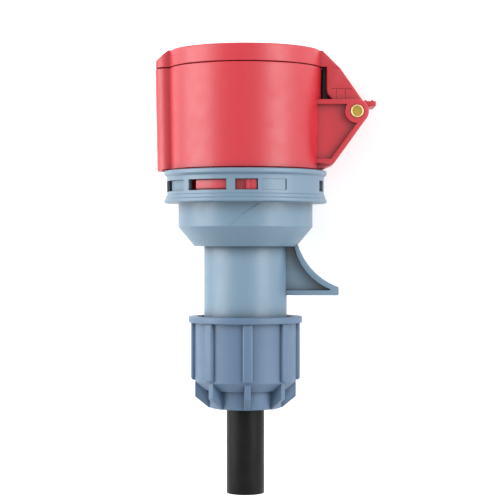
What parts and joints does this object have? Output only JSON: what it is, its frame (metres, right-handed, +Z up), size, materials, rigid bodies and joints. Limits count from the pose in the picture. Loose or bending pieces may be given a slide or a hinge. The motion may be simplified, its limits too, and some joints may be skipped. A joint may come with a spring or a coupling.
{
  "type": "cee power adapter",
  "caption": "Round cable-mount power socket connector with a sprung hinged lid, a bayonet-locked rear housing and a screwed cable gland.",
  "frame": {"origin": "centre of the bounding box, on the table that the connector lies on", "axes": "+Y along the connector's axis, out of the socket's mouth; +Z up from the table; the hinge is on the +X side"},
  "size_m": [0.0882, 0.1876, 0.069],
  "materials": {
    "red_plastic": "satin",
    "grey_plastic": "satin",
    "nut_plastic": "satin",
    "insert_plastic": "matt",
    "seal_rubber": "matt",
    "sheath_rubber": "matt",
    "brass": "turned",
    "spring_steel": "drawn",
    "copper": "bare",
    "core_brown": "satin",
    "core_black": "satin",
    "core_grey": "satin",
    "core_blue": "satin",
    "core_earth": "satin"
  },
  "bodies": {
    "housing": {"front_housing": "red_plastic", "hinge_pin": "brass", "hinge_spring": "spring_steel", "socket_insert": "insert_plastic", "contact_l1": "brass", "contact_l2": "brass", "contact_pe": "brass", "contact_l3": "brass", "contact_n": "brass", "terminal_screws": "spring_steel", "rear_housing": "grey_plastic", "cable_neck": "grey_plastic", "pull_hook": "grey_plastic", "ring_seal": "seal_rubber", "clamp_collet": "insert_plastic", "gland_seal": "seal_rubber", "cable_sheath": "sheath_rubber", "core_brown": "core_brown", "core_black": "core_black", "core_earth": "core_earth", "core_grey": "core_grey", "core_blue": "core_blue", "conductors": "copper"},
    "lid": {"lid": "red_plastic", "lid_seal": "seal_rubber"},
    "gland_carriage": {"slip_washer": "spring_steel"},
    "gland_nut": {"gland_nut": "nut_plastic"}
  },
  "joints": [
    {"name": "lid_hinge", "type": "hinge", "parent": "housing", "child": "lid", "pos_m": [0.03313, 0.06745, 0.01295], "axis": [-0.4614, 0, -0.8872], "range_deg": [0, 100], "stiffness_Nm_per_rad": 0.03, "springref_deg": -60.16, "deforming": ["hinge_spring"]},
    {"name": "gland_travel", "type": "slide", "parent": "housing", "child": "gland_carriage", "axis": [0, -1, 0], "range_m": [0, 0.0075]},
    {"name": "gland_turn", "type": "hinge", "parent": "gland_carriage", "child": "gland_nut", "pos_m": [-0.0083, -0.01865, 0.0345], "axis": [0, -1, 0], "range_deg": [0, 1080]}
  ],
  "couplings": [
    {"joint": "gland_turn", "follows": "gland_travel", "rad_per_m": 2513}
  ]
}
